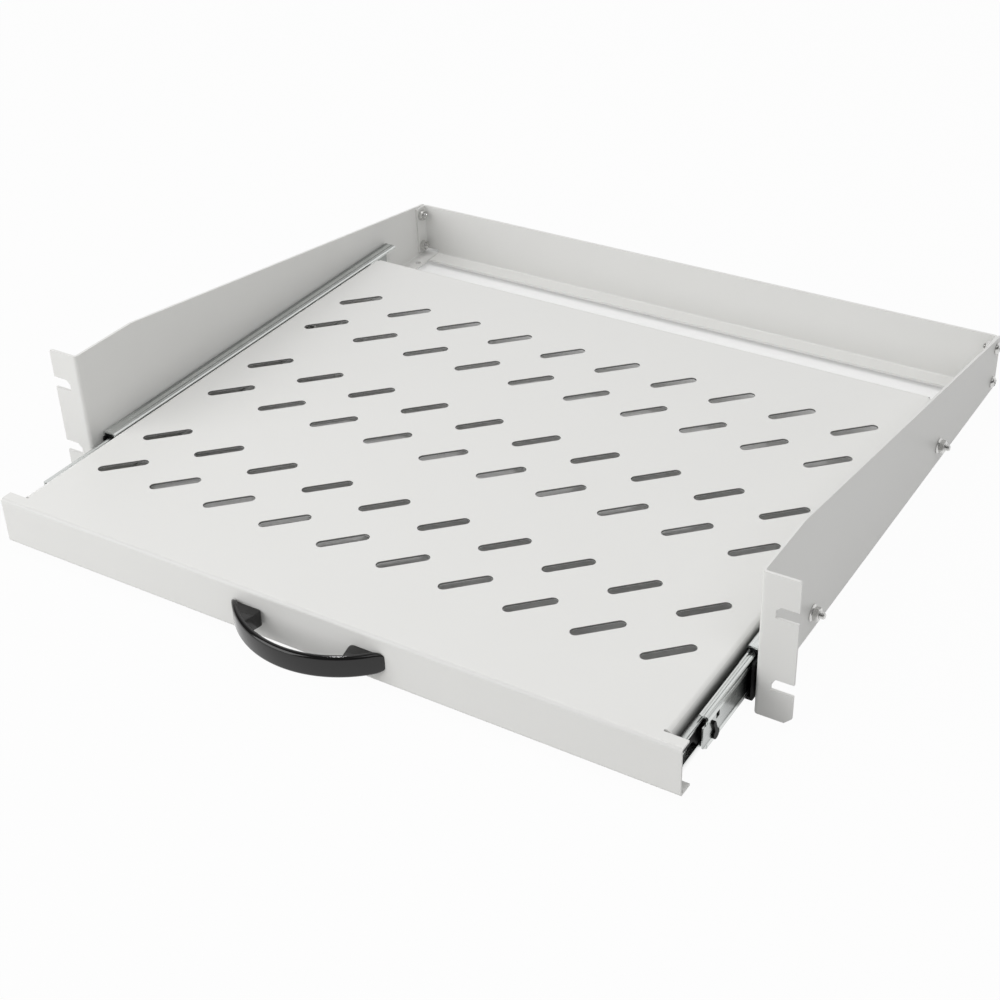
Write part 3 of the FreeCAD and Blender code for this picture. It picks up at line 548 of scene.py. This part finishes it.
def screw_mesh(length, head):
    """A head with a cross recess under Z = 0, and a shank with a thread above it."""
    rise = head["rise"]

    def head_height(turn, reach):
        crown = HEAD_CROWN["drop"] * rise * (reach / HEAD_RADIUS) ** HEAD_CROWN["power"] - rise
        near, far = sorted((abs(reach * math.cos(turn)), abs(reach * math.sin(turn))))
        across = held(CROSS["flare"] - near / CROSS["width"])
        along = held(CROSS["slope"] * (1.0 - far / CROSS["reach"]))
        return crown + head["recess"] * across * along

    def thread(level):
        taper = max(0.0, level - (length - TAPER["length"])) * TAPER["slope"]

        def radius(turn):
            phase = (level / THREAD_PITCH - turn / (2 * math.pi)) % 1.0
            return SCREW_RADIUS - THREAD_DEPTH * abs(2 * phase - 1) - taper

        return ring(radius, lambda turn, reach: level)

    rings = []
    for index in range(1, HEAD_RINGS + 1):
        reach = HEAD_RADIUS * HEAD_CROWN["reach"] * index / HEAD_RINGS
        rings.append(ring(lambda turn, reach=reach: reach, head_height))
    rings += [plain_ring(HEAD_RADIUS, -share * rise) for share in HEAD_RIM]
    rings += [
        plain_ring(HEAD_RADIUS - HEAD_UNDERCUT, 0.0),
        plain_ring(SCREW_RADIUS, 0.0),
        plain_ring(SCREW_RADIUS, RAIL_SHEET),
    ]
    level = RAIL_SHEET + THREAD_PITCH / 2
    while level < length:
        rings.append(thread(level))
        level += THREAD_PITCH / THREAD_STEPS
    rings.append(plain_ring(SCREW_RADIUS - THREAD_DEPTH - TAPER["tip"], length))
    return tidy_mesh(skin(rings, closed=False))


def fastener_tree():
    """Geometry nodes that set a piece on every point, along the point's way, each with its own twist."""
    tree = bpy.data.node_groups.new("fastener_places", "GeometryNodeTree")
    inputs = {
        "Places": "NodeSocketGeometry",
        "Piece": "NodeSocketObject",
        "Finish": "NodeSocketMaterial",
        "Most twist": "NodeSocketFloat",
        "Seed": "NodeSocketInt",
    }
    for name, kind in inputs.items():
        tree.interface.new_socket(name, in_out="INPUT", socket_type=kind)
    tree.interface.new_socket("Fasteners", in_out="OUTPUT", socket_type="NodeSocketGeometry")
    nodes = Nodes(tree)
    given = {name: nodes.node("NodeGroupInput", out=name) for name in inputs}
    piece = nodes.node("GeometryNodeObjectInfo", {}, {"Object": given["Piece"]}, out="Geometry")
    way = nodes.node("GeometryNodeInputNamedAttribute", {"data_type": "FLOAT_VECTOR"}, {"Name": "way"})
    aimed = nodes.node("FunctionNodeAlignRotationToVector", {"axis": "Z"}, {"Vector": way})
    twist = nodes.node("FunctionNodeRandomValue", {"data_type": "FLOAT"},
                       {3: given["Most twist"], "Seed": given["Seed"]}, out=1)
    spin = nodes.node("FunctionNodeAxisAngleToRotation", {}, {"Axis": (0, 0, 1), "Angle": twist})
    turned = nodes.node("FunctionNodeRotateRotation", {"rotation_space": "LOCAL"},
                        {"Rotation": aimed, "Rotate By": spin})
    placed = nodes.node("GeometryNodeInstanceOnPoints", {},
                        {"Points": given["Places"], "Instance": piece, "Rotation": turned})
    real = nodes.node("GeometryNodeRealizeInstances", {}, {"Geometry": placed})
    finished = nodes.node("GeometryNodeSetMaterial", {}, {"Geometry": real, "Material": given["Finish"]})
    nodes.end("NodeGroupOutput", "Fasteners", finished)
    return tree


FASTENER_TREE = fastener_tree()


def fasteners(node, body, mesh, places, seed):
    """Set one kind of screw or nut at its places, in the stead of a CAD node."""
    sample = bpy.data.objects.new("sample", mesh)
    points = bpy.data.meshes.new(node + "_places")
    points.from_pydata([Vector(place) * MM for place, way in places], [], [])
    ways = points.attributes.new("way", "FLOAT_VECTOR", "POINT")
    for row, (place, way) in zip(ways.data, places):
        row.vector = way
    holder = bpy.data.objects.new(node + "_holder", points)
    bpy.context.scene.collection.objects.link(sample)
    bpy.context.scene.collection.objects.link(holder)
    modifier = holder.modifiers.new("places", "NODES")
    modifier.node_group = FASTENER_TREE
    values = {
        "Piece": sample,
        "Finish": FINISHES["zinc_fastener"],
        "Most twist": MOST_TWIST,
        "Seed": seed,
    }
    for item in FASTENER_TREE.interface.items_tree:
        if item.name in values:
            modifier[item.identifier] = values[item.name]
    depsgraph = bpy.context.evaluated_depsgraph_get()
    made = bpy.data.meshes.new_from_object(holder.evaluated_get(depsgraph), depsgraph=depsgraph)
    bpy.data.objects.remove(holder)
    bpy.data.objects.remove(sample)
    add_piece(node + "_detailed", made, body, node, "zinc_fastener")


def add_piece(name, mesh, body, node, slot):
    """Hang a finished mesh on its body in the stead of a CAD node."""
    mesh.materials.clear()
    mesh.materials.append(FINISHES[slot])
    piece = bpy.data.objects.new(name, mesh)
    bpy.context.scene.collection.objects.link(piece)
    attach(piece, body)
    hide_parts(node)


def both_sides(x, y_places, z_places, outwards):
    """Places on the right and on the left, with the way that a piece points there."""
    return [
        ((side * x, y, z), (side * outwards, 0, 0))
        for side in (1, -1)
        for y in y_places
        for z in z_places
    ]


def all_fasteners():
    """Every kind of screw and nut, each with a seed of its own for its twist."""
    rail_grip = RAIL_SHEET + FRAME_SHEET + NUT_FLANGE_RISE + NUT_HEIGHT + RAIL_SCREW_END
    corner_grip = 2 * FRAME_SHEET + NUT_HEIGHT + SCREW_END
    tray_grip = RAIL_SHEET + TRAY_SHEET + NUT_HEIGHT + SCREW_END
    handle_grip = TRAY_SHEET + HANDLE_SCREW_GRIP
    level = (RAIL_LEVEL,)
    fasteners("rail_mount_screws", "frame", screw_mesh(rail_grip, FLAT_HEAD),
              both_sides(OUTER_WEB, RAIL_HOLES, level, 1), 11)
    fasteners("rail_flange_nuts", "frame", nut_mesh(flanged=True),
              both_sides(PANEL_OUTSIDE, RAIL_HOLES, level, 1), 12)
    fasteners("corner_screws", "frame", screw_mesh(corner_grip, PAN_HEAD),
              both_sides(PANEL_OUTSIDE, (CORNER_BACK,), CORNER_HOLES, -1), 13)
    fasteners("corner_nuts", "frame", nut_mesh(flanged=False),
              both_sides(CORNER_INSIDE, (CORNER_BACK,), CORNER_HOLES, -1), 14)
    fasteners("tray_rail_screws", "shelf", screw_mesh(tray_grip, PAN_HEAD),
              both_sides(TRAY_SIDE + RAIL_SHEET, TRAY_HOLES, level, -1), 15)
    fasteners("tray_rail_nuts", "shelf", nut_mesh(flanged=False),
              both_sides(TRAY_SIDE - TRAY_SHEET, TRAY_HOLES, level, -1), 16)
    behind = TRAY_FRONT + TRAY_SHEET
    fasteners("handle_screws", "shelf", screw_mesh(handle_grip, PAN_HEAD),
              [((x, behind, HANDLE_LEVEL), (0, -1, 0)) for x in HANDLE_HOLES], 17)


def band_section():
    """The band's rounded section: pairs of depth under the outer face and height."""
    outer = HANDLE_FILLETS["outer"]
    inner = HANDLE_FILLETS["inner"]
    corners = []
    for centre, radius, first in (
        ((outer, HANDLE_HALF_HEIGHT - outer), outer, 180.0),
        ((HANDLE_BAND - inner, HANDLE_HALF_HEIGHT - inner), inner, 90.0),
    ):
        for step in range(FILLET_STEPS + 1):
            turn = math.radians(first - 90.0 * step / FILLET_STEPS)
            corners.append((centre[0] + radius * math.cos(turn), centre[1] + radius * math.sin(turn)))
    return corners + [(depth, -height) for depth, height in reversed(corners)]


def handle_band():
    """The arched band: its section swept along the bow, with both ends rounded and set on the panel."""
    section = band_section()
    rings = []
    for step in range(HANDLE_STEPS + 1):
        share = math.sin((step / HANDLE_STEPS - 0.5) * math.pi)
        near_end = max(0.0, (abs(share) - HANDLE_END["start"]) / (1.0 - HANDLE_END["start"]))
        drop = 1.0 - math.sqrt(1.0 - HANDLE_END["share"] * near_end ** 2)
        squeeze = 1.0 - HANDLE_END["round"] / HANDLE_HALF_HEIGHT * drop
        points = []
        for depth, height in section:
            radius = HANDLE_RADIUS - depth
            turn = share * math.acos(HANDLE_CENTRE / radius)
            points.append((
                radius * math.sin(turn),
                TRAY_FRONT + HANDLE_CENTRE - radius * math.cos(turn),
                HANDLE_LEVEL + height * squeeze,
            ))
        rings.append(points)
    return skin(rings, closed=False)


def handle_foot(side):
    """A wedge between the band and the panel, with its inner corners rounded."""
    middle = HANDLE_RADIUS - HANDLE_BAND / 2
    end = math.sqrt(middle ** 2 - HANDLE_CENTRE ** 2)
    outline = []
    for step in range(FOOT_STEPS["bow"] + 1):
        x = FOOT_TIP + (end - FOOT_TIP) * step / FOOT_STEPS["bow"]
        outline.append((x, TRAY_FRONT + HANDLE_CENTRE - math.sqrt(middle ** 2 - x ** 2)))
    corner = Vector((FOOT_INNER, TRAY_FRONT))
    tip = Vector(outline[0])
    start = corner + Vector((FOOT_ROUND, 0.0))
    finish = corner + (tip - corner).normalized() * FOOT_ROUND
    for step in range(FOOT_STEPS["corner"] + 1):
        share = step / FOOT_STEPS["corner"]
        outline.append(tuple(start.lerp(corner, share).lerp(corner.lerp(finish, share), share)))
    rings = [
        [(side * x, y, HANDLE_LEVEL + height) for x, y in outline]
        for height in (-FOOT_HALF_HEIGHT, FOOT_HALF_HEIGHT)
    ]
    mesh = skin(rings, closed=False)
    work = bmesh.new()
    work.from_mesh(mesh)
    rims = [edge for edge in work.edges if abs(edge.verts[0].co.z - edge.verts[1].co.z) < SAME_LEVEL]
    bmesh.ops.bevel(work, geom=rims, offset=FOOT_RIM * MM, segments=FOOT_RIM_STEPS,
                    profile=0.5, affect="EDGES")
    work.to_mesh(mesh)
    work.free()
    return mesh


def handle():
    """The bow handle: its band and its two feet in one mesh."""
    joined = bmesh.new()
    for mesh in (handle_band(), handle_foot(1), handle_foot(-1)):
        joined.from_mesh(mesh)
    mesh = bpy.data.meshes.new("bow_handle")
    joined.to_mesh(mesh)
    joined.free()
    add_piece("bow_handle", tidy_mesh(mesh), "shelf", "handle", "handle_plastic")


def catch(side):
    """A moulded catch in the front end of an inner rail: a tall stop behind and a lower arm in front."""
    node = side + "_inner_catch"
    low, high = (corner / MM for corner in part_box(node))
    length = high.y - low.y
    arm = low.z + CATCH["arm"] * (high.z - low.z)
    outline = [
        (low.y, arm),
        (low.y, high.z),
        (high.y, high.z),
        (high.y, low.z),
        (low.y + CATCH["stop"] * length, low.z),
        (low.y + CATCH["knee"] * length, arm - CATCH["knee_drop"]),
        (low.y + CATCH["arm_end"] * length, arm),
    ]
    rings = [[(x, y, z) for y, z in outline] for x in (low.x, high.x)]
    mesh = skin(rings, closed=False)
    work = bmesh.new()
    work.from_mesh(mesh)
    bmesh.ops.recalc_face_normals(work, faces=work.faces)
    bmesh.ops.bevel(work, geom=work.edges, offset=CATCH["rim"] * MM, segments=CATCH_RIM_STEPS,
                    profile=0.5, affect="EDGES")
    work.to_mesh(mesh)
    work.free()
    add_piece(node + "_moulded", tidy_mesh(mesh), "shelf", node, "slide_plastic")


def left_buffer():
    """The left front buffer, with the short nose that the outer rail's mouth shows on that side."""
    node = "left_front_buffer"
    mesh = frame["nodes"][node].data.copy()
    nose_end = (OUTER_FRONT - LEFT_NOSE) * MM
    work = bmesh.new()
    work.from_mesh(mesh)
    bmesh.ops.remove_doubles(work, verts=work.verts, dist=SAME_CAD_POINT)
    for corner in work.verts:
        corner.co.y = max(corner.co.y, nose_end)
    work.to_mesh(mesh)
    work.free()
    add_piece(node + "_short", tidy_mesh(mesh), "frame", node, "slide_plastic")


def seen_directly(nodes):
    """One for rays from the camera and for those that metal mirrors or glass lets through, else nothing."""
    seen = 0.0
    for kind in ("Is Camera Ray", "Is Glossy Ray", "Is Transmission Ray"):
        ray = nodes.node("ShaderNodeLightPath", out=kind)
        seen = ray.math("MAXIMUM", ray, seen)
    return seen


def floor_zone(paper, zone):
    """One inside a rectangle of the floor, and nothing past the fade around it."""
    fade = zone["fade"] * MM
    inside = 1.0
    for axis, low, high in zip("XY", zone["low"], zone["high"]):
        place = paper.along(axis)
        inside = paper.spread(place, 0.0, 1.0, low * MM - fade, low * MM) * inside
        inside = paper.spread(place, 1.0, 0.0, high * MM, high * MM + fade) * inside
    return inside


def studio_floor():
    """A plain pale floor under the ears: white to the camera around the shelf, shaded under it."""
    half = FLOOR_SIZE / 2
    level = cad_low.z
    corners = [(-half, -half, level), (half, -half, level), (half, half, level), (-half, half, level)]
    mesh = bpy.data.meshes.new("floor")
    mesh.from_pydata(corners, [], [(0, 1, 2, 3)])
    floor = bpy.data.objects.new("floor", mesh)
    bpy.context.scene.collection.objects.link(floor)
    paper = Finish("floor_paper")
    fibre = paper.noise(0.004, detail=2.0)
    grey = paper.mix(fibre, rgb(0.49, 0.49, 0.485), rgb(0.52, 0.52, 0.515))
    under = floor_zone(paper, SHADED_FLOOR) * (1 - GAP_WHITE * floor_zone(paper, REAR_GAP))
    colour = paper.mix(floor_zone(paper, PALE_FLOOR), grey, rgb(0.95, 0.95, 0.945))
    shaded = paper.principled(Base_Color=colour, Roughness=0.9, Specular_IOR_Level=0.1)
    seen = seen_directly(paper)
    white = paper.node("ShaderNodeEmission", {}, {"Color": rgb(1, 1, 1), "Strength": 1.0})
    share = seen * (1 - under) * WHITE_SHARE
    paper.end("ShaderNodeOutputMaterial", "Surface",
              paper.node("ShaderNodeMixShader", {}, {0: share, 1: shaded, 2: white}))
    mesh.materials.append(paper.material)


def studio_world():
    """An even pale room: white to the camera, and in reflections white behind and dim in front."""
    world = bpy.data.worlds.new("studio")
    bpy.context.scene.world = world
    world.use_nodes = True
    room = Nodes(world.node_tree)
    way = room.node("ShaderNodeTexCoord", out="Generated")
    depth = room.node("ShaderNodeSeparateXYZ", {}, {"Vector": way}, out="Y")
    mirrored = room.node("ShaderNodeMapRange", {}, {
        "Value": depth,
        "From Min": DIM_FRONT["from"],
        "From Max": DIM_FRONT["to"],
        "To Min": DIM_FRONT["light"],
        "To Max": 1.0,
    })
    glossy_ray = room.node("ShaderNodeLightPath", out="Is Glossy Ray")
    seen = seen_directly(room)
    strength = (1 - seen) * ROOM_LIGHT + seen * (1 - glossy_ray) + glossy_ray * mirrored
    lit = room.node("ShaderNodeBackground", {}, {"Color": rgb(1, 1, 1), "Strength": strength})
    room.end("ShaderNodeOutputWorld", "Surface", lit)


def soft_boxes():
    """A large key light in front on the left, a small lamp above and a large one on the right."""
    for name, box in SOFT_BOXES.items():
        lamp = bpy.data.lights.new(name, "AREA")
        lamp.size = box["size"]
        lamp.energy = box["power"]
        stand = bpy.data.objects.new(name, lamp)
        place = Vector(box["place"])
        stand.location = place
        stand.rotation_euler = place.to_track_quat("Z", "Y").to_euler()
        bpy.context.scene.collection.objects.link(stand)


def camera():
    """The photograph's camera: place, direction, roll and focal length."""
    azimuth = math.radians(CAMERA_AZIMUTH)
    elevation = math.radians(CAMERA_ELEVATION)
    roll = math.radians(CAMERA_ROLL)
    back = Vector((
        math.sin(azimuth) * math.cos(elevation),
        -math.cos(azimuth) * math.cos(elevation),
        math.sin(elevation),
    ))
    right = Vector((math.cos(azimuth), math.sin(azimuth), 0))
    up = back.cross(right)
    rolled_right = right * math.cos(roll) + up * math.sin(roll)
    rolled_up = up * math.cos(roll) - right * math.sin(roll)
    turn = Matrix((rolled_right, rolled_up, back)).transposed()
    lens = bpy.data.cameras.new("camera")
    lens.lens = CAMERA_LENS
    lens.sensor_width = SENSOR_WIDTH
    lens.clip_start = NEAREST
    lens.clip_end = FARTHEST
    eye = bpy.data.objects.new("camera", lens)
    eye.matrix_world = Matrix.Translation(CAMERA_PLACE) @ turn.to_4x4()
    bpy.context.scene.collection.objects.link(eye)
    bpy.context.scene.camera = eye


camera()
finish_nodes()
all_fasteners()
handle()
catch("left")
catch("right")
left_buffer()
studio_floor()
studio_world()
soft_boxes()
bpy.context.scene.view_settings.view_transform = "Standard"
